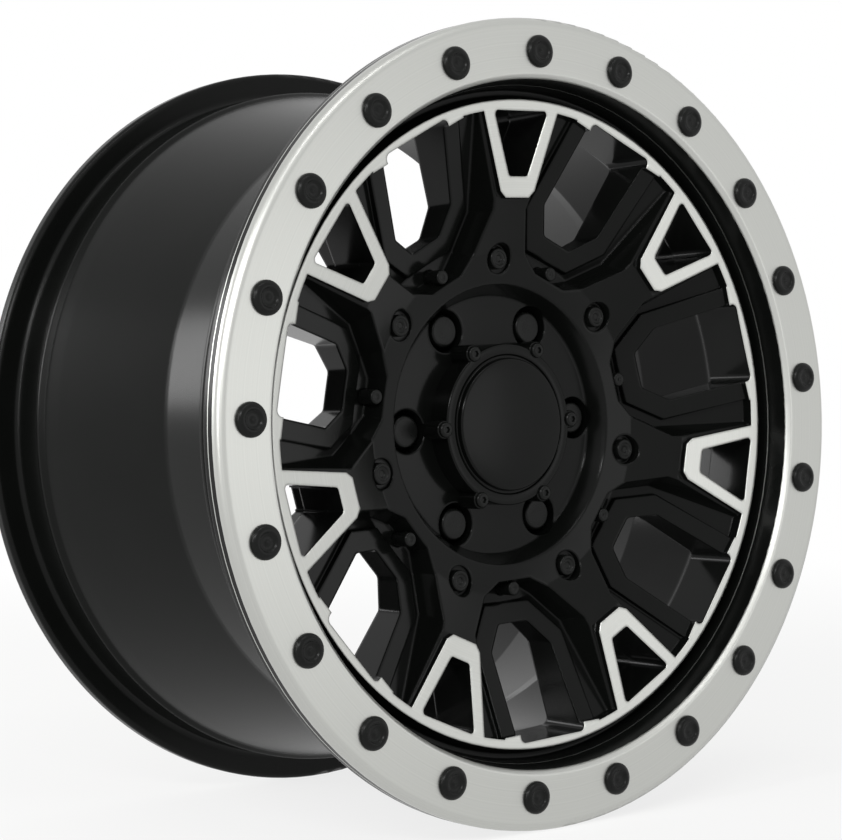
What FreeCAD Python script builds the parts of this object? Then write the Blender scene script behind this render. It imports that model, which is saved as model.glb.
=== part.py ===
import FreeCAD, Part
import Sketcher
import math
import os
import re

# A one-piece cast 18 x 9.5 truck wheel with a bolted-look lip, seven spokes and a six-stud hub.
# The axle is the Y axis, the face looks along -Y, and the origin is the wheel's centre.
# Lengths are millimetres. A name ending in _y is a place along the axle, and one ending in
# _r a radius from the axle, or from the fastener's own axis.
SIZES = {
    # rim, from the front lip to the back flange
    "bead_r": 231.0, "rim_width": 241.3, "flange_rise": 17.5, "flange_thick": 12.5,
    "bead_fall": 1.8, "bead_width": 22.0, "hump_out": 0.6, "hump_rise": 3.0, "well_drop": 26.5,
    "barrel_drop": 5.0, "wall": 6.0, "lip_thick": 17.4, "front_bead_y": -116.45,
    "well_front_y": -56.0, "well_back_y": -10.0, "barrel_y": 82.0, "back_lip_drop": 7.0,
    "lip_bevel": 2.5, "lip_round": 5.0, "bead_round": 4.0, "edge_round": 3.0,
    "well_round": 14.0,
    # from the bead seat inwards: lip face, channel and machined face ring
    "lip_in": 19.4, "channel_wall": 4.0, "channel_floor": 3.8, "channel_slope": 3.0,
    "ring_width": 5.6, "channel_y": -106.0, "ring_y": -115.85, "face_slope": 0.144,
    # spoke face, hub recess and the back of the spokes
    "spoke_top_y": -111.6, "knee_r": 141.0, "knee_y": -102.4, "hub_face_r": 108.0,
    "hub_face_y": -87.4, "recess_r": 89.0, "recess_y": -83.9, "ledge_r": 81.8, "ledge_y": -72.4,
    "relief_r": 43.0, "bore_end_y": -48.4, "hub_bore_r": 39.05, "pad_y": -20.2, "pad_r": 84.0,
    "pad_step": 14.0, "heel_r": 104.0, "heel_y": -56.0, "root_y": -81.0, "root_round": 6.0,
    "spoke_count": 7, "wheel_turn": 3.0,
    # sunk bay around each window: half widths and distances from the axle at its deepest level
    "bay_foot": 105.5, "bay_foot_half": 11.0, "bay_hip": 112.0, "bay_hip_half": 22.0,
    "bay_waist": 131.0, "bay_waist_half": 34.5, "bay_end_half": 40.0, "bay_draft": 20.0,
    "bay_start_y": -66.4, "bay_foot_y": -72.4, "bay_end_y": -107.4,
    # arched frame that borders each window, and its tooth on the face ring
    "frame_foot": 113.5, "frame_foot_half": 18.5, "frame_waist": 134.5, "frame_waist_half": 36.5,
    "frame_end_half": 39.5, "frame_rise": 3.8, "tooth_in": 5.0,
    # window opening
    "window_foot": 126.0, "window_foot_half": 12.0, "window_waist": 141.5,
    "window_waist_half": 25.0, "window_end_half": 27.0, "window_reach": 0.4, "window_round": 4.0,
    # machined loop on each spoke and its opening
    "loop_foot": 141.0, "loop_foot_half": 9.5, "loop_hip": 145.0, "loop_hip_half": 13.8,
    "loop_end_half": 33.0, "slot_foot": 154.0, "slot_foot_half": 7.6, "slot_end_half": 22.3,
    "slot_margin": 1.2, "slot_round": 2.5,
    # lip bolts
    "lip_bolt_count": 21, "lip_bolt_in": 3.3, "lip_head_r": 10.0, "lip_head_rise": 3.5,
    "lip_head_bevel": 1.6, "lip_dimple_r": 3.2, "lip_dimple_depth": 1.0, "lip_shank_r": 4.0,
    "lip_shank_length": 12.0,
    # spoke bolts
    "spoke_bolt_circle_r": 104.6, "spoke_seat_r": 9.6, "spoke_seat_y": -82.9,
    "spoke_head_r": 6.75, "spoke_head_rise": 4.4, "spoke_head_bevel": 1.0, "socket_r": 2.8,
    "socket_depth": 2.0, "spoke_shank_r": 3.5, "spoke_shank_length": 12.0,
    # pins between the hub and each window frame
    "pin_circle_r": 104.2, "pin_r": 4.6, "pin_sink": 4.0, "pin_top_y": -85.4, "pin_bevel": 1.2,
    # lug nuts and their holes
    "lug_count": 6, "lug_circle_r": 69.85, "lug_hole_r": 8.0, "lug_seat_y": -39.9,
    "lug_seat_rise": 3.464, "nut_r": 10.0, "nut_gap": 3.6, "nut_top_y": -71.4, "nut_bevel": 1.6,
    "nut_lift": 0.4, "nut_thread_r": 6.2, "nut_thread_depth": 24.0,
    # centre cap and its screws
    "cap_r": 51.0, "cap_wall": 6.0, "cap_flange_rise": 16.0, "cap_disc_r": 41.8,
    "cap_disc_rise": 3.0, "cap_dome": 1.2, "cap_groove": 1.4, "cap_groove_width": 2.2,
    "cap_skin": 4.0, "lobe_r": 5.8, "screw_circle_r": 52.6, "screw_head_r": 4.9,
    "screw_head_rise": 2.4, "screw_bevel": 0.8, "screw_socket_r": 2.2, "screw_socket_depth": 1.4,
    "screw_shank_r": 2.5, "screw_shank_length": 24.0,
    # room around a shank, and how far a hole runs past its end
    "shank_gap": 0.15, "hole_end_gap": 1.0,
}

doc = FreeCAD.newDocument("wheel_rim")
sheet = doc.addObject("Spreadsheet::Sheet", "Sizes")
for row, (name, value) in enumerate(SIZES.items(), start=1):
    sheet.set("A%d" % row, name)
    sheet.set("B%d" % row, str(value))
    sheet.setAlias("B%d" % row, name)
doc.recompute()


# Places that several pieces share, each a sum of sizes
LIP_FACE = "front_bead_y - lip_thick"
BACK_BEAD = "front_bead_y + rim_width"
BACK_FACE = BACK_BEAD + " + flange_thick"
FLANGE = "bead_r + flange_rise"
HUMP = "bead_r + hump_out"
WELL = "bead_r - well_drop"
LIP_EDGE = "bead_r - lip_in"
CHANNEL_OUT = LIP_EDGE + " - channel_wall"
CHANNEL_IN = CHANNEL_OUT + " - channel_floor"
RING_OUT = CHANNEL_IN + " - channel_slope"
RING_IN = RING_OUT + " - ring_width"
LIP_BOLTS = "bead_r - lip_bolt_in"
PIN_SEAT = "bay_foot_y + pin_sink"
CAP_FLANGE = "ledge_y - cap_flange_rise"
AHEAD = LIP_FACE + " - wall"


# A sum of sizes, written with their names, as an expression on the sheet
def bound(text):
    return re.sub(r"\b[a-z]\w*", r"Sizes.\g<0>", text)


# A body whose first copy stands on +Z after a turn about the axle; turn adds degrees to the left
def new_body(name, turn="0"):
    body = doc.addObject("PartDesign::Body", name)
    body.Placement.Rotation = FreeCAD.Rotation(FreeCAD.Vector(0, -1, 0), 1)
    body.setExpression("Placement.Rotation.Angle", "(%s) * 1 deg" % bound("wheel_turn + " + turn))
    return body


def origin_part(body, role):
    return next(item for item in body.Origin.OriginFeatures if item.Role == role)


# A closed outline whose every corner is held to the sheet; axis adds a turning line at that x
def outline(body, plane, name, corners, axis=None):
    sketch = body.newObject("Sketcher::SketchObject", name)
    sketch.AttachmentSupport = [(origin_part(body, plane), "")]
    sketch.MapMode = "FlatFace"
    count = len(corners)
    start = [FreeCAD.Vector(60 + 9 * math.cos(2 * math.pi * i / count),
                            9 * math.sin(2 * math.pi * i / count), 0) for i in range(count)]
    for i in range(count):
        sketch.addGeometry(Part.LineSegment(start[i], start[(i + 1) % count]), False)
    for i in range(count):
        sketch.addConstraint(Sketcher.Constraint("Coincident", i, 2, (i + 1) % count, 1))
    held = [(i, 1, start[i], corner) for i, corner in enumerate(corners)]
    if axis:
        ends = [FreeCAD.Vector(60, 0, 0), FreeCAD.Vector(60, 10, 0)]
        sketch.addGeometry(Part.LineSegment(*ends), True)
        held += [(count, 1, ends[0], (axis, "0")), (count, 2, ends[1], (axis, "10"))]
    for item, end, at, texts in held:
        for kind, text, value in zip(("DistanceX", "DistanceY"), texts, (at.x, at.y)):
            number = sketch.addConstraint(Sketcher.Constraint(kind, -1, 1, item, end, value))
            sketch.setExpression("Constraints[%d]" % number, bound(text))
    return sketch


# A full turn of an outline, about the axle or about the outline's own turning line
def turned(body, sketch, kind="PartDesign::Revolution", own_axis=False):
    feature = body.newObject(kind, sketch.Name + "_turned")
    feature.Profile = sketch
    feature.ReferenceAxis = (sketch, ["Axis0" if own_axis else "V_Axis"])
    feature.Angle = 360
    return feature


# Equal copies of features about the axle
def repeated(body, features, count):
    pattern = body.newObject("PartDesign::PolarPattern", body.Name + "_pattern")
    pattern.Originals = features
    pattern.Axis = (origin_part(body, "Y_Axis"), [""])
    pattern.Angle = 360
    pattern.setExpression("Occurrences", bound(count))
    body.Tip = pattern
    return pattern


# Rounds on the edges that stand on the given corners of a feature's outline
def rounded(body, feature, sketch, corners, radius, along_axle=False):
    doc.recompute()
    names = []
    for number, edge in enumerate(feature.Shape.Edges, start=1):
        for corner in corners:
            spot = sketch.getPoint(corner, 1)
            if along_axle:
                low, high = edge.Vertexes[0].Point, edge.Vertexes[-1].Point
                hit = all(math.hypot(p.x - spot.x, p.z - spot.y) < 1e-4 for p in (low, high))
            else:
                hit = (isinstance(edge.Curve, Part.Circle)
                       and abs(edge.Curve.Radius - spot.x) < 1e-4
                       and abs(edge.Curve.Center.y - spot.y) < 1e-4)
            if hit:
                names.append("Edge%d" % number)
    fillet = body.newObject("PartDesign::Fillet", "%s_%s" % (feature.Name, radius))
    fillet.Base = (feature, names)
    fillet.setExpression("Radius", bound(radius))
    body.Tip = fillet
    return fillet


# Seven prisms along the axle from one mirrored outline, given as (half width, distance) corners.
# They run forwards from the start to the end level, and a draft makes them wider on the way.
def prisms(name, turn, corners, rounds=None, start="0", end=AHEAD, draft=None):
    body = new_body(name, turn)
    both = [("-(%s)" % half, far) for half, far in corners] + list(reversed(corners))
    sketch = outline(body, "XZ_Plane", name + "_outline", both)
    sketch.setExpression("AttachmentOffset.Base.z", "-(%s)" % bound(start))
    pad = body.newObject("PartDesign::Pad", name + "_pad")
    pad.Profile = sketch
    pad.setExpression("Length", bound("%s - (%s)" % (start, end)))
    if draft:
        pad.setExpression("TaperAngle", bound(draft))
    last = [pad]
    if rounds:
        last.append(rounded(body, pad, sketch, range(len(both)), rounds, along_axle=True))
    repeated(body, last, "spoke_count")
    return body


# Turned fasteners, or the holes for them, on a circle about the axle
def turned_set(name, circle, count, turn, corners):
    body = new_body(name, turn)
    corners = [("%s + %s" % (circle, x), y) for x, y in corners]
    sketch = outline(body, "XY_Plane", name + "_section", corners, axis=circle)
    repeated(body, [turned(body, sketch, own_axis=True)], count)
    return body


def joined(kind, name, base, tool):
    feature = doc.addObject(kind, name)
    feature.Base, feature.Tool = base, tool
    return feature


# Rim and disc in one turned section: tyre side first, then the back, the hub and the face
rim = new_body("rim_blank")
rim_section = outline(rim, "XY_Plane", "rim_section", [
    (LIP_EDGE, LIP_FACE + " + lip_bevel"),
    (LIP_EDGE + " + lip_bevel", LIP_FACE),
    (FLANGE, LIP_FACE),
    (FLANGE, "front_bead_y"),
    ("bead_r", "front_bead_y"),
    ("bead_r - bead_fall", "front_bead_y + bead_width"),
    (HUMP, "front_bead_y + bead_width + hump_rise"),
    (HUMP, "front_bead_y + bead_width + 2 * hump_rise"),
    (WELL, "well_front_y"),
    (WELL, "well_back_y"),
    ("bead_r - barrel_drop", "barrel_y"),
    (HUMP + " - hump_rise", BACK_BEAD + " - bead_width - 3 * hump_rise"),
    (HUMP, BACK_BEAD + " - bead_width - 2 * hump_rise"),
    (HUMP, BACK_BEAD + " - bead_width - hump_rise"),
    ("bead_r - bead_fall", BACK_BEAD + " - bead_width"),
    ("bead_r", BACK_BEAD),
    (FLANGE, BACK_BEAD),
    (FLANGE, BACK_FACE),
    ("bead_r - back_lip_drop", BACK_FACE),
    ("bead_r - barrel_drop - wall", "barrel_y"),
    (WELL + " - wall", "well_back_y"),
    (WELL + " - wall", "root_y"),
    ("heel_r", "heel_y"),
    ("pad_r + 0.3 * pad_step", "pad_y - pad_step"),
    ("pad_r", "pad_y"),
    ("hub_bore_r", "pad_y"),
    ("hub_bore_r", "bore_end_y"),
    ("relief_r", "bore_end_y"),
    ("relief_r", "ledge_y"),
    ("ledge_r", "ledge_y"),
    ("recess_r", "recess_y"),
    ("hub_face_r", "hub_face_y"),
    ("knee_r", "knee_y"),
    (RING_IN, "spoke_top_y"),
    (RING_IN, "ring_y + face_slope * ring_width"),
    (RING_OUT, "ring_y"),
    (CHANNEL_IN, "channel_y"),
    (CHANNEL_OUT, "channel_y"),
])
rim_turned = turned(rim, rim_section)
lip_rounds = rounded(rim, rim_turned, rim_section, [2, 17], "lip_round")
seat_rounds = rounded(rim, lip_rounds, rim_section, [4, 15], "bead_round")
edge_rounds = rounded(rim, seat_rounds, rim_section, [3, 16], "edge_round")
well_rounds = rounded(rim, edge_rounds, rim_section, [8, 9], "well_round")
rounded(rim, well_rounds, rim_section, [21], "root_round")

# Sunk bays between the spokes, with sloped walls, cut down to a cone
bays = prisms("bays", "180 / spoke_count", [
    ("bay_foot_half", "bay_foot"), ("bay_hip_half", "bay_hip"),
    ("bay_waist_half", "bay_waist"), ("bay_end_half", RING_OUT)],
    start="bay_start_y", end="ring_y", draft="bay_draft")
bay_depth = new_body("bay_depth")
turned(bay_depth, outline(bay_depth, "XY_Plane", "bay_depth_section", [
    ("recess_r", AHEAD), ("recess_r", "bay_foot_y"), ("frame_foot", "bay_foot_y"),
    (RING_IN, "bay_end_y"), (RING_IN, AHEAD)]))
bay_cut = joined("Part::Common", "bay_cut", bays, bay_depth)
sunk = joined("Part::Cut", "sunk_disc", rim, bay_cut)

# Arched frames that stand up from the bays, on the same cone
frames = prisms("frames", "180 / spoke_count", [
    ("frame_foot_half", "frame_foot"), ("frame_waist_half", "frame_waist"),
    ("frame_end_half", RING_OUT)])
frame_height = new_body("frame_height")
turned(frame_height, outline(frame_height, "XY_Plane", "frame_height_section", [
    ("recess_r", "bay_foot_y + frame_rise"), ("recess_r", "bay_foot_y - frame_rise"),
    ("frame_foot", "bay_foot_y - frame_rise"), (RING_IN, "bay_end_y - frame_rise"),
    (RING_OUT, "bay_end_y - frame_rise"), (RING_OUT, "bay_end_y + frame_rise"),
    (RING_IN, "bay_end_y + frame_rise"), ("frame_foot", "bay_foot_y + frame_rise")]))
frame_set = joined("Part::Common", "frame_set", frames, frame_height)
framed = joined("Part::Fuse", "framed_disc", sunk, frame_set)

# Machined loops on the spokes, and teeth where the frames meet the ring, on one turned cone
loops = prisms("loops", "0", [
    ("loop_foot_half", "loop_foot"), ("loop_hip_half", "loop_hip"), ("loop_end_half", RING_OUT)])
teeth = prisms("teeth", "180 / spoke_count", [
    ("frame_end_half", RING_IN + " - tooth_in"), ("frame_end_half", RING_OUT)])
loop_height = new_body("loop_height")
turned(loop_height, outline(loop_height, "XY_Plane", "loop_height_section", [
    ("loop_foot - wall", "knee_y + wall"),
    ("loop_foot - wall", "ring_y + face_slope * (%s - loop_foot + wall)" % RING_OUT),
    (RING_OUT, "ring_y"), (RING_OUT, "spoke_top_y")]))
loop_set = joined("Part::Common", "loop_set", joined("Part::Fuse", "face_outlines", loops, teeth),
                  loop_height)
looped = joined("Part::Fuse", "looped_disc", framed, loop_set)

# Windows and loop openings right through the disc
windows = prisms("windows", "180 / spoke_count", [
    ("window_foot_half", "window_foot"), ("window_waist_half", "window_waist"),
    ("window_end_half", RING_IN + " + window_reach")], "window_round")
slots = prisms("slots", "0", [
    ("slot_foot_half", "slot_foot"), ("slot_end_half", RING_IN + " - slot_margin")], "slot_round")

# Holes for the fasteners, each with its own named room
lug_holes = turned_set("lug_holes", "lug_circle_r", "lug_count", "0", [
    ("0", "0"), ("lug_hole_r", "0"), ("lug_hole_r", "lug_seat_y"),
    ("nut_r", "lug_seat_y - lug_seat_rise"), ("nut_r + nut_gap", "lug_seat_y - lug_seat_rise"),
    ("nut_r + nut_gap", LIP_FACE), ("0", LIP_FACE)])
lip_holes = turned_set("lip_holes", LIP_BOLTS, "lip_bolt_count", "90", [
    ("0", LIP_FACE + " + lip_shank_length + hole_end_gap"),
    ("lip_shank_r + shank_gap", LIP_FACE + " + lip_shank_length + hole_end_gap"),
    ("lip_shank_r + shank_gap", AHEAD), ("0", AHEAD)])
spoke_holes = turned_set("spoke_holes", "spoke_bolt_circle_r", "spoke_count", "90", [
    ("0", "spoke_seat_y + spoke_shank_length + hole_end_gap"),
    ("spoke_shank_r + shank_gap", "spoke_seat_y + spoke_shank_length + hole_end_gap"),
    ("spoke_shank_r + shank_gap", "spoke_seat_y"), ("spoke_seat_r", "spoke_seat_y"),
    ("spoke_seat_r", LIP_FACE), ("0", LIP_FACE)])
pin_holes = turned_set("pin_holes", "pin_circle_r", "spoke_count", "90 + 180 / spoke_count", [
    ("0", PIN_SEAT), ("pin_r + shank_gap", PIN_SEAT),
    ("pin_r + shank_gap", LIP_FACE), ("0", LIP_FACE)])
screw_holes = turned_set("screw_holes", "screw_circle_r", "lug_count", "0", [
    ("0", CAP_FLANGE + " + screw_shank_length + hole_end_gap"),
    ("screw_shank_r + shank_gap", CAP_FLANGE + " + screw_shank_length + hole_end_gap"),
    ("screw_shank_r + shank_gap", LIP_FACE), ("0", LIP_FACE)])
openings = doc.addObject("Part::Compound", "openings")
openings.Links = [windows, slots, lug_holes, lip_holes, spoke_holes, pin_holes, screw_holes]
casting = joined("Part::Cut", "casting", looped, openings)
casting.Label = "wheel_casting"

# Low round bolt heads on the lip, each with a shallow dimple
lip_bolts = turned_set("lip_bolts", LIP_BOLTS, "lip_bolt_count", "90", [
    ("0", LIP_FACE + " + lip_shank_length"), ("lip_shank_r", LIP_FACE + " + lip_shank_length"),
    ("lip_shank_r", LIP_FACE), ("lip_head_r", LIP_FACE),
    ("lip_head_r", LIP_FACE + " - lip_head_rise + lip_head_bevel"),
    ("lip_head_r - lip_head_bevel", LIP_FACE + " - lip_head_rise"),
    ("lip_dimple_r", LIP_FACE + " - lip_head_rise"),
    ("lip_dimple_r - lip_dimple_depth", LIP_FACE + " - lip_head_rise + lip_dimple_depth"),
    ("0", LIP_FACE + " - lip_head_rise + lip_dimple_depth")])

# Socket bolts at the spoke feet, in flat counterbores
spoke_bolts = turned_set("spoke_bolts", "spoke_bolt_circle_r", "spoke_count", "90", [
    ("0", "spoke_seat_y + spoke_shank_length"),
    ("spoke_shank_r", "spoke_seat_y + spoke_shank_length"), ("spoke_shank_r", "spoke_seat_y"),
    ("spoke_head_r", "spoke_seat_y"),
    ("spoke_head_r", "spoke_seat_y - spoke_head_rise + spoke_head_bevel"),
    ("spoke_head_r - spoke_head_bevel", "spoke_seat_y - spoke_head_rise"),
    ("socket_r", "spoke_seat_y - spoke_head_rise"),
    ("socket_r", "spoke_seat_y - spoke_head_rise + socket_depth"),
    ("0", "spoke_seat_y - spoke_head_rise + socket_depth")])

# Plain pins between the hub and the window frames
frame_pins = turned_set("frame_pins", "pin_circle_r", "spoke_count", "90 + 180 / spoke_count", [
    ("0", PIN_SEAT), ("pin_r", PIN_SEAT), ("pin_r", "pin_top_y + pin_bevel"),
    ("pin_r - pin_bevel", "pin_top_y"), ("0", "pin_top_y")])

# Closed round lug nuts, each on the cone of its hole
lug_nuts = turned_set("lug_nuts", "lug_circle_r", "lug_count", "0", [
    ("nut_thread_r", "lug_seat_y - nut_lift"),
    ("lug_hole_r + nut_lift * (nut_r - lug_hole_r) / lug_seat_rise", "lug_seat_y - nut_lift"),
    ("nut_r", "lug_seat_y - lug_seat_rise"), ("nut_r", "nut_top_y + nut_bevel"),
    ("nut_r - nut_bevel", "nut_top_y"), ("0", "nut_top_y"),
    ("0", "lug_seat_y - nut_lift - nut_thread_depth"),
    ("nut_thread_r", "lug_seat_y - nut_lift - nut_thread_depth")])

# Hollow centre cap with a bare raised disc and six screw lobes
cap = new_body("center_cap")
cap_turned = turned(cap, outline(cap, "XY_Plane", "cap_section", [
    ("cap_r - cap_wall", "ledge_y"), ("cap_r", "ledge_y"), ("cap_r", CAP_FLANGE),
    ("cap_disc_r + cap_groove_width", CAP_FLANGE),
    ("cap_disc_r + cap_groove_width", CAP_FLANGE + " + cap_groove"),
    ("cap_disc_r", CAP_FLANGE + " + cap_groove"), ("cap_disc_r", CAP_FLANGE + " - cap_disc_rise"),
    ("0", CAP_FLANGE + " - cap_disc_rise - cap_dome"), ("0", CAP_FLANGE + " + cap_skin"), ("cap_r - cap_wall", CAP_FLANGE + " + cap_skin")]))
lobe = turned(cap, outline(cap, "XY_Plane", "lobe_section", [
    ("screw_circle_r", "ledge_y"), ("screw_circle_r + lobe_r", "ledge_y"),
    ("screw_circle_r + lobe_r", CAP_FLANGE), ("screw_circle_r", CAP_FLANGE)],
    axis="screw_circle_r"), own_axis=True)
lobe_hole = turned(cap, outline(cap, "XY_Plane", "lobe_hole_section", [
    ("screw_circle_r", "ledge_y + wall"),
    ("screw_circle_r + screw_shank_r + shank_gap", "ledge_y + wall"),
    ("screw_circle_r + screw_shank_r + shank_gap", CAP_FLANGE + " - wall"),
    ("screw_circle_r", CAP_FLANGE + " - wall")], axis="screw_circle_r"),
    kind="PartDesign::Groove", own_axis=True)
repeated(cap, [lobe, lobe_hole], "lug_count")

# Socket screws on the cap's lobes, into the hub's ledge
cap_screws = turned_set("cap_screws", "screw_circle_r", "lug_count", "0", [
    ("0", CAP_FLANGE + " + screw_shank_length"),
    ("screw_shank_r", CAP_FLANGE + " + screw_shank_length"), ("screw_shank_r", CAP_FLANGE),
    ("screw_head_r", CAP_FLANGE),
    ("screw_head_r", CAP_FLANGE + " - screw_head_rise + screw_bevel"),
    ("screw_head_r - screw_bevel", CAP_FLANGE + " - screw_head_rise"),
    ("screw_socket_r", CAP_FLANGE + " - screw_head_rise"),
    ("screw_socket_r", CAP_FLANGE + " - screw_head_rise + screw_socket_depth"),
    ("0", CAP_FLANGE + " - screw_head_rise + screw_socket_depth")])

doc.recompute()
for item in doc.Objects:
    if "Invalid" in item.State or "Error" in item.State:
        raise RuntimeError("%s failed: %s" % (item.Name, item.getStatusString()))
pieces = [casting, lip_bolts, spoke_bolts, frame_pins, lug_nuts, cap, cap_screws]
for piece in pieces:
    if piece.Shape.isNull() or not piece.Shape.isValid():
        raise RuntimeError("%s has no valid shape" % piece.Label)

os.makedirs("parts", exist_ok=True)
for piece in pieces:
    piece.Shape.exportStep("parts/%s.step" % piece.Label)
    box = piece.Shape.BoundBox
    print("%-14s solids %2d faces %4d volume %9.0f box %s" % (
        piece.Label, len(piece.Shape.Solids), len(piece.Shape.Faces), piece.Shape.Volume,
        [round(v, 1) for v in (box.XMin, box.XMax, box.YMin, box.YMax, box.ZMin, box.ZMax)]))
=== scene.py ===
import math
import bmesh
import bpy
from mathutils import Matrix, Vector


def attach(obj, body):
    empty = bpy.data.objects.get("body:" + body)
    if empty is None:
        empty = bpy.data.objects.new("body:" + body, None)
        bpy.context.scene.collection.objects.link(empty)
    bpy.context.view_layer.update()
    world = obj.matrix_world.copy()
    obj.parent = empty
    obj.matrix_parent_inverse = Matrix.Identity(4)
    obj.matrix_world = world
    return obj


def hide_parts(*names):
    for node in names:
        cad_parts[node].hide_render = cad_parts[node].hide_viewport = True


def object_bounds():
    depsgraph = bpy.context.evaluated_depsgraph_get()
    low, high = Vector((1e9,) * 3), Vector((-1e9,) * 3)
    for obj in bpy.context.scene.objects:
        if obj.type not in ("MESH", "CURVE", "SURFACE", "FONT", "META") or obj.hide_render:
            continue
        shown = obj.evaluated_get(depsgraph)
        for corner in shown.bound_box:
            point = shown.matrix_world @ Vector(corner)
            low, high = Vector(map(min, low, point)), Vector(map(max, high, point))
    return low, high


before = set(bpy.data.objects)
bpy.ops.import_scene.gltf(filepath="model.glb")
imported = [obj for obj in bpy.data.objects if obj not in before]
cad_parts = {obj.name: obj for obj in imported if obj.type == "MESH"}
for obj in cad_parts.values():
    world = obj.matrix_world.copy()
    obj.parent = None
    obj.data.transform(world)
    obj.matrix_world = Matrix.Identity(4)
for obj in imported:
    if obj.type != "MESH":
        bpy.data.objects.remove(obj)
cad_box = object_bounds()


# Cast aluminium wheel: one pour, sprayed black all over, then turned on a lathe that cuts the
# lip, the face ring and the loops back to bright metal. It is the base that every other piece
# is screwed or pressed into.
def linear(hex_colour):
    parts = [int(hex_colour[i:i + 2], 16) / 255 for i in (1, 3, 5)]
    return [c / 12.92 if c <= 0.04045 else ((c + 0.055) / 1.055) ** 2.4 for c in parts] + [1.0]


# adds one node, sets its properties, and fills its inputs with values or links
def add(tree, kind, settings, inputs):
    node = tree.nodes.new(kind)
    for name, value in settings.items():
        setattr(node, name, value)
    for key, value in inputs.items():
        if isinstance(value, bpy.types.Node):
            value = value.outputs[0]
        if isinstance(value, bpy.types.NodeSocket):
            tree.links.new(value, node.inputs[key])
        else:
            node.inputs[key].default_value = value
    return node


def new_material(name):
    material = bpy.data.materials.new(name)
    material.use_nodes = True
    material.node_tree.nodes.clear()
    return material, material.node_tree


# Satin black spray paint, which shows soft broad highlights with a faint orange peel, and turned
# aluminium, which is pale and softly shiny with a fine grain that runs round the axle.
# Sizes here are in metres, as the nodes read them.
LIP_BACK_Y = -0.1270        # the lathe cut the lip from here forwards
LIP_EDGE_R = 0.2114         # and from here outwards
FACE_CONE_Y = -0.11585      # the cone that the ring and loops are cut to: its outer edge,
FACE_CONE_R = 0.2008
FACE_SLOPE = 0.144          # and how far it falls back for each step inwards
FACE_FOOT_R = 0.139         # the loops end here
CUT_DEPTH = 0.0004          # what lies this near the cone was cut
BARREL_R = 0.2012           # outside this the paint is duller
EDGE_ROUND = 0.0024
MILLIMETRES = 1000.0

wheel_paint, tree = new_material("sprayed_and_turned_cast_aluminium")
place = tree.nodes.new("ShaderNodeTexCoord").outputs["Object"]
split = add(tree, "ShaderNodeSeparateXYZ", {}, {0: place})
across = add(tree, "ShaderNodeCombineXYZ", {}, {0: split.outputs[0], 2: split.outputs[2]})
radius = add(tree, "ShaderNodeVectorMath", {"operation": "LENGTH"}, {0: across}).outputs["Value"]
along = split.outputs[1]

# bright where the lathe cut: the lip ahead of its black back edge, and the cone of the loops
lip_ahead = add(tree, "ShaderNodeMath", {"operation": "LESS_THAN"}, {0: along, 1: LIP_BACK_Y})
lip_outside = add(tree, "ShaderNodeMath", {"operation": "GREATER_THAN"}, {0: radius, 1: LIP_EDGE_R})
lip_cut = add(tree, "ShaderNodeMath", {"operation": "MULTIPLY"}, {0: lip_ahead, 1: lip_outside})
inward = add(tree, "ShaderNodeMath", {"operation": "SUBTRACT"}, {0: FACE_CONE_R, 1: radius})
cone = add(tree, "ShaderNodeMath", {"operation": "MULTIPLY_ADD"},
           {0: inward, 1: FACE_SLOPE, 2: FACE_CONE_Y})
on_cone = add(tree, "ShaderNodeMath", {"operation": "COMPARE"}, {0: along, 1: cone, 2: CUT_DEPTH})
past_foot = add(tree, "ShaderNodeMath", {"operation": "GREATER_THAN"}, {0: radius, 1: FACE_FOOT_R})
face_cut = add(tree, "ShaderNodeMath", {"operation": "MULTIPLY"}, {0: on_cone, 1: past_foot})
bright = add(tree, "ShaderNodeMath", {"operation": "MAXIMUM"}, {0: lip_cut, 1: face_cut})

# the tool leaves rings about 0.2 mm apart, drawn near 1 mm so that they show
reach_along = add(tree, "ShaderNodeMath", {"operation": "ADD"}, {0: radius, 1: along})
ring_place = add(tree, "ShaderNodeMath", {"operation": "MULTIPLY"}, {0: reach_along, 1: MILLIMETRES})
rings = add(tree, "ShaderNodeTexNoise", {"noise_dimensions": "1D"},
            {"W": ring_place, "Scale": 1.0, "Detail": 2.0, "Roughness": 0.6})
metal_colour = add(tree, "ShaderNodeMix", {"data_type": "RGBA"},
                   {0: rings, 6: linear("#B2B3AF"), 7: linear("#C0C1BD")}).outputs[2]
# orange peel of sprayed paint, some 1.5 mm across, and a slow drift of its shade, some 45 mm
peel = add(tree, "ShaderNodeTexNoise", {}, {"Vector": place, "Scale": 650.0, "Detail": 1.0})
drift = add(tree, "ShaderNodeTexNoise", {}, {"Vector": place, "Scale": 22.0, "Detail": 3.0})
paint_colour = add(tree, "ShaderNodeMix", {"data_type": "RGBA"},
                   {0: drift, 6: linear("#080908"), 7: linear("#0E0F0E")}).outputs[2]
on_barrel = add(tree, "ShaderNodeMath", {"operation": "GREATER_THAN"}, {0: radius, 1: BARREL_R})
paint_rough = add(tree, "ShaderNodeMapRange", {}, {0: on_barrel, 3: 0.15, 4: 0.25})
metal_rough = add(tree, "ShaderNodeMapRange", {}, {0: rings, 3: 0.32, 4: 0.40})
colour = add(tree, "ShaderNodeMix", {"data_type": "RGBA"},
             {0: bright, 6: paint_colour, 7: metal_colour}).outputs[2]
rough = add(tree, "ShaderNodeMix", {}, {0: bright, 2: paint_rough, 3: metal_rough})
height = add(tree, "ShaderNodeMix", {}, {0: bright, 2: peel, 3: rings})
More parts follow.
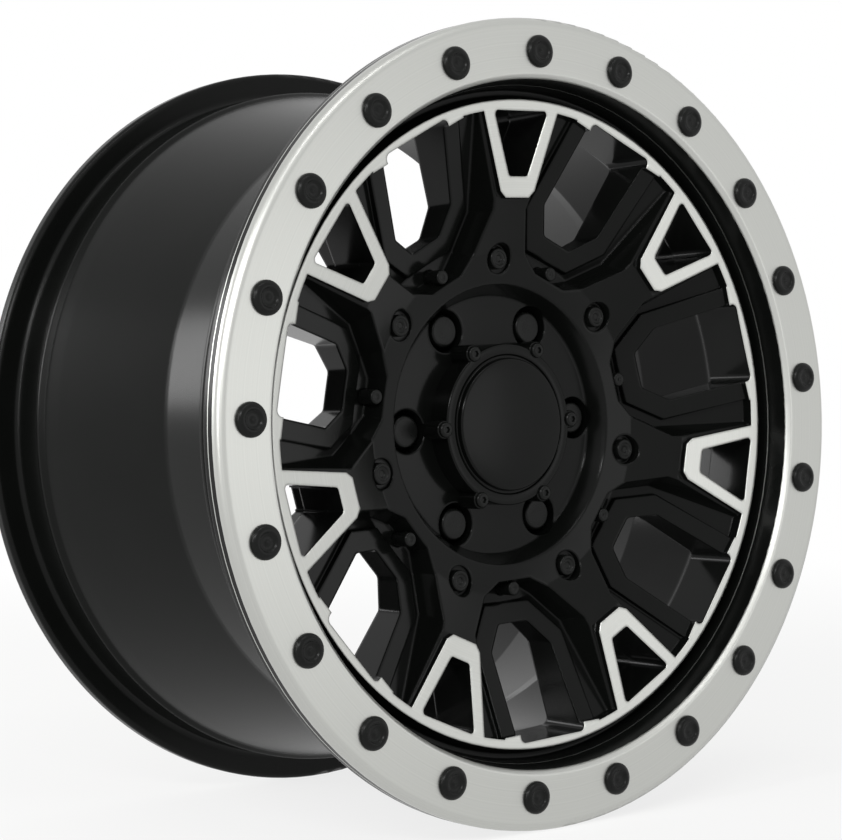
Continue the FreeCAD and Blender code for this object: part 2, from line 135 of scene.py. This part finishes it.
# corners of a casting and its paint are rounded by some two millimetres
edges = add(tree, "ShaderNodeBevel", {"samples": 8}, {"Radius": EDGE_ROUND})
grain = add(tree, "ShaderNodeBump", {},
            {"Strength": 0.15, "Distance": 0.00005, "Height": height, "Normal": edges})
shader = add(tree, "ShaderNodeBsdfPrincipled", {},
             {"Base Color": colour, "Metallic": bright, "Roughness": rough, "Normal": grain,
              "Specular IOR Level": 0.115})
add(tree, "ShaderNodeOutputMaterial", {}, {0: shader})
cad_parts["wheel_casting"].data.materials.clear()
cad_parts["wheel_casting"].data.materials.append(wheel_paint)


# Spoke ribs: walls cast on the back of each spoke round its opening, which deepen it and run out
# to the barrel. They come out of the same mould as the wheel and carry the same paint.
# The sizes of all pieces from here on are in millimetres.
RIB_MIDDLE_R = 170
RIB_EDGE = 1.2
END_WALL = 4.3              # the outer wall is thinner, so that it stays inside the barrel


def rib_wall(name, foot_r, end_r, foot_half, end_half, wall, front_y, back_y):
    mesh_maker = bmesh.new()
    rings = []
    for grow, y in ((wall, front_y), (wall, back_y), (0, back_y), (0, front_y)):
        outer_r = end_r + min(grow, END_WALL)
        corners = ((foot_r - grow, -foot_half - grow), (outer_r, -end_half - grow),
                   (outer_r, end_half + grow), (foot_r - grow, foot_half + grow))
        rings.append([mesh_maker.verts.new(((r - RIB_MIDDLE_R) / 1000, y / 1000, across / 1000))
                      for r, across in corners])
    for ring, following in zip(rings, rings[1:] + rings[:1]):
        for i in range(4):
            j = (i + 1) % 4
            mesh_maker.faces.new((ring[i], ring[j], following[j], following[i]))
    bmesh.ops.recalc_face_normals(mesh_maker, faces=mesh_maker.faces)
    bmesh.ops.bevel(mesh_maker, geom=mesh_maker.edges, offset=RIB_EDGE / 1000, segments=2,
                    affect="EDGES")
    mesh = bpy.data.meshes.new(name)
    mesh_maker.to_mesh(mesh)
    mesh_maker.free()
    return mesh


# one piece in, a ring of them about the axle out, each with its X axis away from the axle
axle_ring = bpy.data.node_groups.new("pieces_round_the_axle", "GeometryNodeTree")
ring_inputs = {}
for label, kind in (("Piece", "NodeSocketGeometry"), ("Count", "NodeSocketInt"),
                    ("Circle radius", "NodeSocketFloat"), ("Turn", "NodeSocketFloat"),
                    ("Finish", "NodeSocketMaterial")):
    socket = axle_ring.interface.new_socket(label, in_out="INPUT", socket_type=kind)
    ring_inputs[label] = socket.identifier
axle_ring.interface.new_socket("Pieces", in_out="OUTPUT", socket_type="NodeSocketGeometry")
given = axle_ring.nodes.new("NodeGroupInput").outputs
circle = add(axle_ring, "GeometryNodeMeshCircle", {},
             {"Vertices": given["Count"], "Radius": given["Circle radius"]})
back_turn = add(axle_ring, "ShaderNodeMath", {"operation": "MULTIPLY"},
                {0: given["Turn"], 1: -1.0})
stand_up = add(axle_ring, "ShaderNodeCombineXYZ", {}, {0: math.pi / 2, 1: back_turn})
upright_circle = add(axle_ring, "GeometryNodeTransform", {},
                     {"Geometry": circle, "Rotation": stand_up})
point = add(axle_ring, "ShaderNodeSeparateXYZ", {},
            {0: axle_ring.nodes.new("GeometryNodeInputPosition")})
angle = add(axle_ring, "ShaderNodeMath", {"operation": "ARCTAN2"},
            {0: point.outputs[2], 1: point.outputs[0]})
piece_turn = add(axle_ring, "ShaderNodeMath", {"operation": "MULTIPLY"}, {0: angle, 1: -1.0})
outwards = add(axle_ring, "ShaderNodeCombineXYZ", {}, {1: piece_turn})
placed = add(axle_ring, "GeometryNodeInstanceOnPoints", {},
             {"Points": upright_circle, "Instance": given["Piece"], "Rotation": outwards})
real = add(axle_ring, "GeometryNodeRealizeInstances", {}, {"Geometry": placed})
finished = add(axle_ring, "GeometryNodeSetMaterial", {},
               {"Geometry": real, "Material": given["Finish"]})
add(axle_ring, "NodeGroupOutput", {}, {0: finished})


def set_round_axle(name, mesh, count, circle_mm, turn_degrees, finish):
    piece = bpy.data.objects.new(name, mesh)
    bpy.context.collection.objects.link(piece)
    ring = piece.modifiers.new("ring", "NODES")
    ring.node_group = axle_ring
    for label, value in (("Count", count), ("Circle radius", circle_mm / 1000),
                         ("Turn", math.radians(turn_degrees)), ("Finish", finish)):
        ring[ring_inputs[label]] = value
    evaluated = piece.evaluated_get(bpy.context.evaluated_depsgraph_get())
    whole_ring = bpy.data.meshes.new_from_object(evaluated)
    piece.modifiers.remove(ring)
    piece.data = whole_ring
    return piece


SPOKES = 7
SPOKE_TURN = 93             # degrees from level to the first spoke
spoke_rib = rib_wall("spoke_rib", foot_r=153.8, end_r=194.2, foot_half=7.8, end_half=22.5,
                     wall=6, front_y=-95, back_y=-60)
spoke_rib_ring = set_round_axle("spoke_rib_ring", spoke_rib, SPOKES, RIB_MIDDLE_R, SPOKE_TURN,
                                wheel_paint)
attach(spoke_rib_ring, "root")


# Lip bolts: low round heads of black oxide steel on the turned lip, each with a rolled shoulder
# and a dished top with a small centre nub. Their shanks are screwed into blind holes.
SHARP_EDGE = math.radians(38)


# a quarter turn of points from the side of a piece to its front
def rounded(centre, reach, steps=7):
    turns = [math.pi / 2 * i / steps for i in range(steps + 1)]
    return [(centre[0] + reach[0] * math.cos(t), centre[1] - reach[1] * math.sin(t)) for t in turns]


# a closed round solid about the Y axis, from its section in millimetres; a third number in a
# corner gives that ring so many flats
def lathe(name, seat_y, section, sides=48):
    mesh_maker = bmesh.new()
    rows = []
    for r, y, *flats in section:
        if r == 0:
            rows.append([mesh_maker.verts.new((0, (seat_y + y) / 1000, 0))])
            continue
        row = []
        for i in range(sides):
            angle = 2 * math.pi * i / sides
            reach = r / 1000
            if flats:
                flat = 2 * math.pi / flats[0]
                reach *= math.cos(flat / 2) / math.cos(angle % flat - flat / 2)
            row.append(mesh_maker.verts.new((reach * math.cos(angle), (seat_y + y) / 1000,
                                             reach * math.sin(angle))))
        rows.append(row)
    for first, second in zip(rows, rows[1:]):
        for i in range(sides):
            j = (i + 1) % sides
            corners = [first[i % len(first)], first[j % len(first)],
                       second[j % len(second)], second[i % len(second)]]
            mesh_maker.faces.new(list(dict.fromkeys(corners)))
    bmesh.ops.recalc_face_normals(mesh_maker, faces=mesh_maker.faces)
    mesh = bpy.data.meshes.new(name)
    mesh_maker.to_mesh(mesh)
    mesh_maker.free()
    mesh.shade_smooth()
    mesh.set_sharp_from_angle(angle=SHARP_EDGE)
    return mesh


# Steel blackened in a hot oxide bath and oiled: near black, with a soft sheen and faint blotches
# a few millimetres wide.
black_oxide, tree = new_material("black_oxide_steel")
place = tree.nodes.new("ShaderNodeTexCoord").outputs["Object"]
blotch = add(tree, "ShaderNodeTexNoise", {}, {"Vector": place, "Scale": 220.0, "Detail": 3.0})
colour = add(tree, "ShaderNodeMix", {"data_type": "RGBA"},
             {0: blotch, 6: linear("#090A09"), 7: linear("#121312")}).outputs[2]
rough = add(tree, "ShaderNodeMapRange", {}, {0: blotch, 3: 0.22, 4: 0.34})
shader = add(tree, "ShaderNodeBsdfPrincipled", {},
             {"Base Color": colour, "Roughness": rough, "Specular IOR Level": 0.14})
add(tree, "ShaderNodeOutputMaterial", {}, {0: shader})

LIP_BOLTS, LIP_BOLT_CIRCLE, LIP_FACE_Y = 21, 227.7, -133.85
lip_bolt = lathe("lip_bolt", LIP_FACE_Y, [
    (0, 12), (3.4, 12), (4, 11.4), (4, 0), (10, 0)] + rounded((6.4, -0.7), (3.6, 2.8)) + [
    (6.0, -3.42), (5.7, -3.2), (5.35, -2.7), (4.8, -2.3), (3.6, -2.1), (1.7, -2.05),
    (1.35, -2.2), (0.8, -2.4), (0, -2.45)])
lip_bolt_ring = set_round_axle("lip_bolt_ring", lip_bolt, LIP_BOLTS, LIP_BOLT_CIRCLE, SPOKE_TURN,
                               black_oxide)
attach(lip_bolt_ring, "root")
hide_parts("lip_bolts")

# Spoke bolts: round black steel heads sunk in flat counterbores at the spoke feet, with rounded
# shoulders and a shallow stepped dish, screwed into the casting.
SPOKE_BOLT_CIRCLE, SPOKE_SEAT_Y = 104.6, -82.9
spoke_bolt = lathe("spoke_bolt", SPOKE_SEAT_Y, [
    (0, 12), (3.0, 12), (3.5, 11.5), (3.5, 0), (6.75, 0)] + rounded((5.3, -2.95), (1.45, 1.45)) + [
    (4.7, -4.36), (4.35, -4.1), (4.1, -3.8), (2.6, -3.65), (2.2, -3.4), (1.9, -2.9), (0, -2.8)])
spoke_bolt_ring = set_round_axle("spoke_bolt_ring", spoke_bolt, SPOKES, SPOKE_BOLT_CIRCLE,
                                 SPOKE_TURN, black_oxide)
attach(spoke_bolt_ring, "root")
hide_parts("spoke_bolts")

# Frame pins: plain black steel pins with rounded ends, pressed into the casting between the hub
# and the foot of each window frame.
PIN_CIRCLE, PIN_SEAT_Y = 104.2, -68.4
HALF_SPACE = 180 / SPOKES   # degrees from a spoke to the window beside it
frame_pin = lathe("frame_pin", PIN_SEAT_Y, [
    (0, 0), (4.6, 0)] + rounded((3.0, -15.4), (1.6, 1.6)) + [(1.5, -17), (1.1, -16.75), (0, -16.65)])
frame_pin_ring = set_round_axle("frame_pin_ring", frame_pin, SPOKES, PIN_CIRCLE,
                                SPOKE_TURN + HALF_SPACE, black_oxide)
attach(frame_pin_ring, "root")
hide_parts("frame_pins")

# Lug nuts: closed round nuts of black steel in scalloped pockets, each screwed on a wheel stud
# until its cone sits in the cone of its hole.
LUGS, LUG_CIRCLE, LUG_TURN, LUG_SEAT_Y = 6, 69.85, 3, -39.9
lug_nut = lathe("lug_nut", LUG_SEAT_Y, [
    (0, -24.4), (6.2, -24.4), (6.2, -0.4), (8.23, -0.4), (10, -3.464)]
    + rounded((8.2, -29.7), (1.8, 1.8)) + [(4, -31.45), (0, -31.4)])
lug_nut_ring = set_round_axle("lug_nut_ring", lug_nut, LUGS, LUG_CIRCLE, LUG_TURN, black_oxide)
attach(lug_nut_ring, "root")
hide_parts("lug_nuts")

# Centre cap: one hollow moulding of black ABS with a bare raised disc and six lobes, held on
# the hub's ledge by a screw through each lobe. Polished mould walls give it a wet gloss, with
# a slow waviness where the plastic shrank.
cap_plastic, tree = new_material("moulded_gloss_black_abs")
place = tree.nodes.new("ShaderNodeTexCoord").outputs["Object"]
# flow of the plastic in the mould, some 25 mm across, and fine dust marks near 0.5 mm
flow = add(tree, "ShaderNodeTexNoise", {}, {"Vector": place, "Scale": 40.0, "Detail": 2.0})
marks = add(tree, "ShaderNodeTexNoise", {}, {"Vector": place, "Scale": 1800.0, "Detail": 2.0})
colour = add(tree, "ShaderNodeMix", {"data_type": "RGBA"},
             {0: flow, 6: linear("#070807"), 7: linear("#0C0D0C")}).outputs[2]
rough = add(tree, "ShaderNodeMapRange", {}, {0: marks, 3: 0.13, 4: 0.24})
waves = add(tree, "ShaderNodeBump", {}, {"Strength": 0.1, "Distance": 0.0002, "Height": flow})
shader = add(tree, "ShaderNodeBsdfPrincipled", {},
             {"Base Color": colour, "Roughness": rough, "Normal": waves,
              "Specular IOR Level": 0.11})
add(tree, "ShaderNodeOutputMaterial", {}, {0: shader})

CAP_FLANGE_Y = -88.4
CAP_SCREWS, CAP_SCREW_CIRCLE = 6, 52.6
DISC_R, DISC_RISE, DOME_RISE = 40, 3, 1.2
dome = [(r, -DISC_RISE - DOME_RISE * (1 - (r / DISC_R) ** 2)) for r in (32, 24, 16, 8, 0)]
cap_shell = lathe("cap_shell", CAP_FLANGE_Y, [
    (0, 4), (45, 4), (45, 16), (51, 16)] + rounded((49.5, 1.5), (1.5, 1.5)) + [
    (45, 0), (44.4, 0.15), (44.1, 0.5), (44, 1), (43.7, 1.3), (43.4, 1.4), (42.4, 1.4),
    (42.1, 1.3), (41.8, 1)] + rounded((DISC_R, -1.2), (1.8, 1.8)) + dome, sides=144)
cap_lobe = lathe("cap_lobe", CAP_FLANGE_Y, [
    (0, 16), (5.8, 16)] + rounded((4.6, 1.2), (1.2, 1.2)) + [(0, 0)])
lobes = set_round_axle("cap_lobes", cap_lobe, CAP_SCREWS, CAP_SCREW_CIRCLE, LUG_TURN, cap_plastic)
moulded_cap = bpy.data.objects.new("moulded_cap", cap_shell)
bpy.context.collection.objects.link(moulded_cap)
cap_shell.materials.append(cap_plastic)
grown = moulded_cap.modifiers.new("lobes", "BOOLEAN")
grown.operation, grown.solver, grown.object = "UNION", "EXACT", lobes
evaluated = moulded_cap.evaluated_get(bpy.context.evaluated_depsgraph_get())
whole_cap = bpy.data.meshes.new_from_object(evaluated)
moulded_cap.modifiers.remove(grown)
moulded_cap.data = whole_cap
bpy.data.objects.remove(lobes)
whole_cap.set_sharp_from_angle(angle=SHARP_EDGE)
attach(moulded_cap, "root")
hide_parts("center_cap")

# Cap screws: button heads of black oxide steel with hexagon sockets, one on each lobe of the
# cap, screwed through it into the hub.
cap_screw = lathe("cap_screw", CAP_FLANGE_Y, [
    (0, 24), (2.1, 24), (2.5, 23.6), (2.5, 0), (4.9, 0)] + rounded((2.5, -0.5), (2.4, 1.9)) + [
    (2.2, -2.36, 6), (2.05, -2.2, 6), (2.0, -1.05, 6), (0, -1.0)])
cap_screw_ring = set_round_axle("cap_screw_ring", cap_screw, CAP_SCREWS, CAP_SCREW_CIRCLE, LUG_TURN,
                                black_oxide)
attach(cap_screw_ring, "root")
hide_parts("cap_screws")

# Studio: a pale floor under the wheel, a white surround and soft lamps. Camera, mirror and glass
# rays see the surround as white; the light that it sheds on the wheel is weaker.
world = bpy.data.worlds.new("white_surround")
world.use_nodes = True
bpy.context.scene.world = world
tree = world.node_tree
tree.nodes.clear()
path = tree.nodes.new("ShaderNodeLightPath").outputs
mirrored = add(tree, "ShaderNodeMath", {"operation": "MAXIMUM"},
               {0: path["Is Glossy Ray"], 1: path["Is Transmission Ray"]})
seen = add(tree, "ShaderNodeMath", {"operation": "MAXIMUM"}, {0: path["Is Camera Ray"], 1: mirrored})
SHED, WHITE = 0.5, 1.0
strength = add(tree, "ShaderNodeMapRange", {}, {0: seen, 3: SHED, 4: WHITE})
sky = add(tree, "ShaderNodeBackground", {}, {0: linear("#FFFFFF"), 1: strength})
add(tree, "ShaderNodeOutputWorld", {}, {0: sky})

FLOOR_Z = cad_box[0][2]
REACH = 12                  # metres from the wheel to the floor's edges
SHADOW_NEAR, SHADOW_FAR = 0.4, 2.5
floor_mesh = bpy.data.meshes.new("floor")
floor_mesh.from_pydata([(-REACH, -REACH, FLOOR_Z), (REACH, -REACH, FLOOR_Z),
                        (REACH, REACH, FLOOR_Z), (-REACH, REACH, FLOOR_Z)], [], [(0, 1, 2, 3)])
floor = bpy.data.objects.new("floor", floor_mesh)
bpy.context.collection.objects.link(floor)
floor_paint, tree = new_material("pale_painted_floor")
place = tree.nodes.new("ShaderNodeTexCoord").outputs["Object"]
away = add(tree, "ShaderNodeVectorMath", {"operation": "LENGTH"}, {0: place}).outputs["Value"]
# the floor takes the wheel's shadow near it and runs out to the white of the surround
paleness = add(tree, "ShaderNodeMapRange", {"interpolation_type": "SMOOTHSTEP"},
               {0: away, 1: SHADOW_NEAR, 2: SHADOW_FAR, 3: 0.8, 4: WHITE})
lit = add(tree, "ShaderNodeBsdfDiffuse", {}, {0: linear("#F4F4F2")})
white = add(tree, "ShaderNodeEmission", {}, {0: linear("#FFFFFF"), 1: WHITE})
both = add(tree, "ShaderNodeMixShader", {}, {0: paleness, 1: lit, 2: white})
add(tree, "ShaderNodeOutputMaterial", {}, {0: both})
floor_mesh.materials.append(floor_paint)

# each lamp's place in metres, power in watts, width and height
LAMPS = (
    ("barrel_lamp", (-1.22, 1.6, 0.52), 9, 0.5, 0.7),
    ("left_lamp", (-2.0, -0.5, 0.7), 14, 0.1, 1.4),
    ("front_lamp", (0.9, -1.9, 0.05), 1.8, 0.9, 0.5),
    ("edge_lamp", (-1.45, -1.35, 0.9), 14, 1.0, 0.25),
    ("top_lamp", (-0.3, -1.3, 2.0), 6, 1.4, 0.2),
)
for name, spot, power, wide, high in LAMPS:
    lamp = bpy.data.lights.new(name, "AREA")
    lamp.shape = "RECTANGLE"
    lamp.energy, lamp.size, lamp.size_y = power, wide, high
    lamp_object = bpy.data.objects.new(name, lamp)
    lamp_object.location = spot
    lamp_object.rotation_euler = (-Vector(spot)).to_track_quat("-Z", "Y").to_euler()
    bpy.context.collection.objects.link(lamp_object)

# Camera: level with the axle, 39 degrees to the left of the face, with the wheel's face a little
# right of the middle of the picture.
TURN, RISE, ROLL = math.radians(-38.867), math.radians(0.117), math.radians(-0.722)
back = Vector((math.sin(TURN) * math.cos(RISE), -math.cos(TURN) * math.cos(RISE), math.sin(RISE)))
level = Vector((math.cos(TURN), math.sin(TURN), 0))
upright = back.cross(level)
right = math.cos(ROLL) * level + math.sin(ROLL) * upright
up = -math.sin(ROLL) * level + math.cos(ROLL) * upright
FACE_MIDDLE = Vector((0, -0.13585, 0))
SET_BACK, SET_LEFT, SET_UP = 1.2942, 0.08548, 0.00241      # metres
camera = bpy.data.cameras.new("camera")
camera.sensor_width = 36
camera.lens = 90.28
camera_object = bpy.data.objects.new("camera", camera)
spot = FACE_MIDDLE + back * SET_BACK - right * SET_LEFT + up * SET_UP
camera_object.matrix_world = (Matrix.Translation(spot)
                              @ Matrix((right, up, back)).transposed().to_4x4())
bpy.context.collection.objects.link(camera_object)
bpy.context.scene.camera = camera_object
bpy.context.scene.view_settings.view_transform = "Standard"
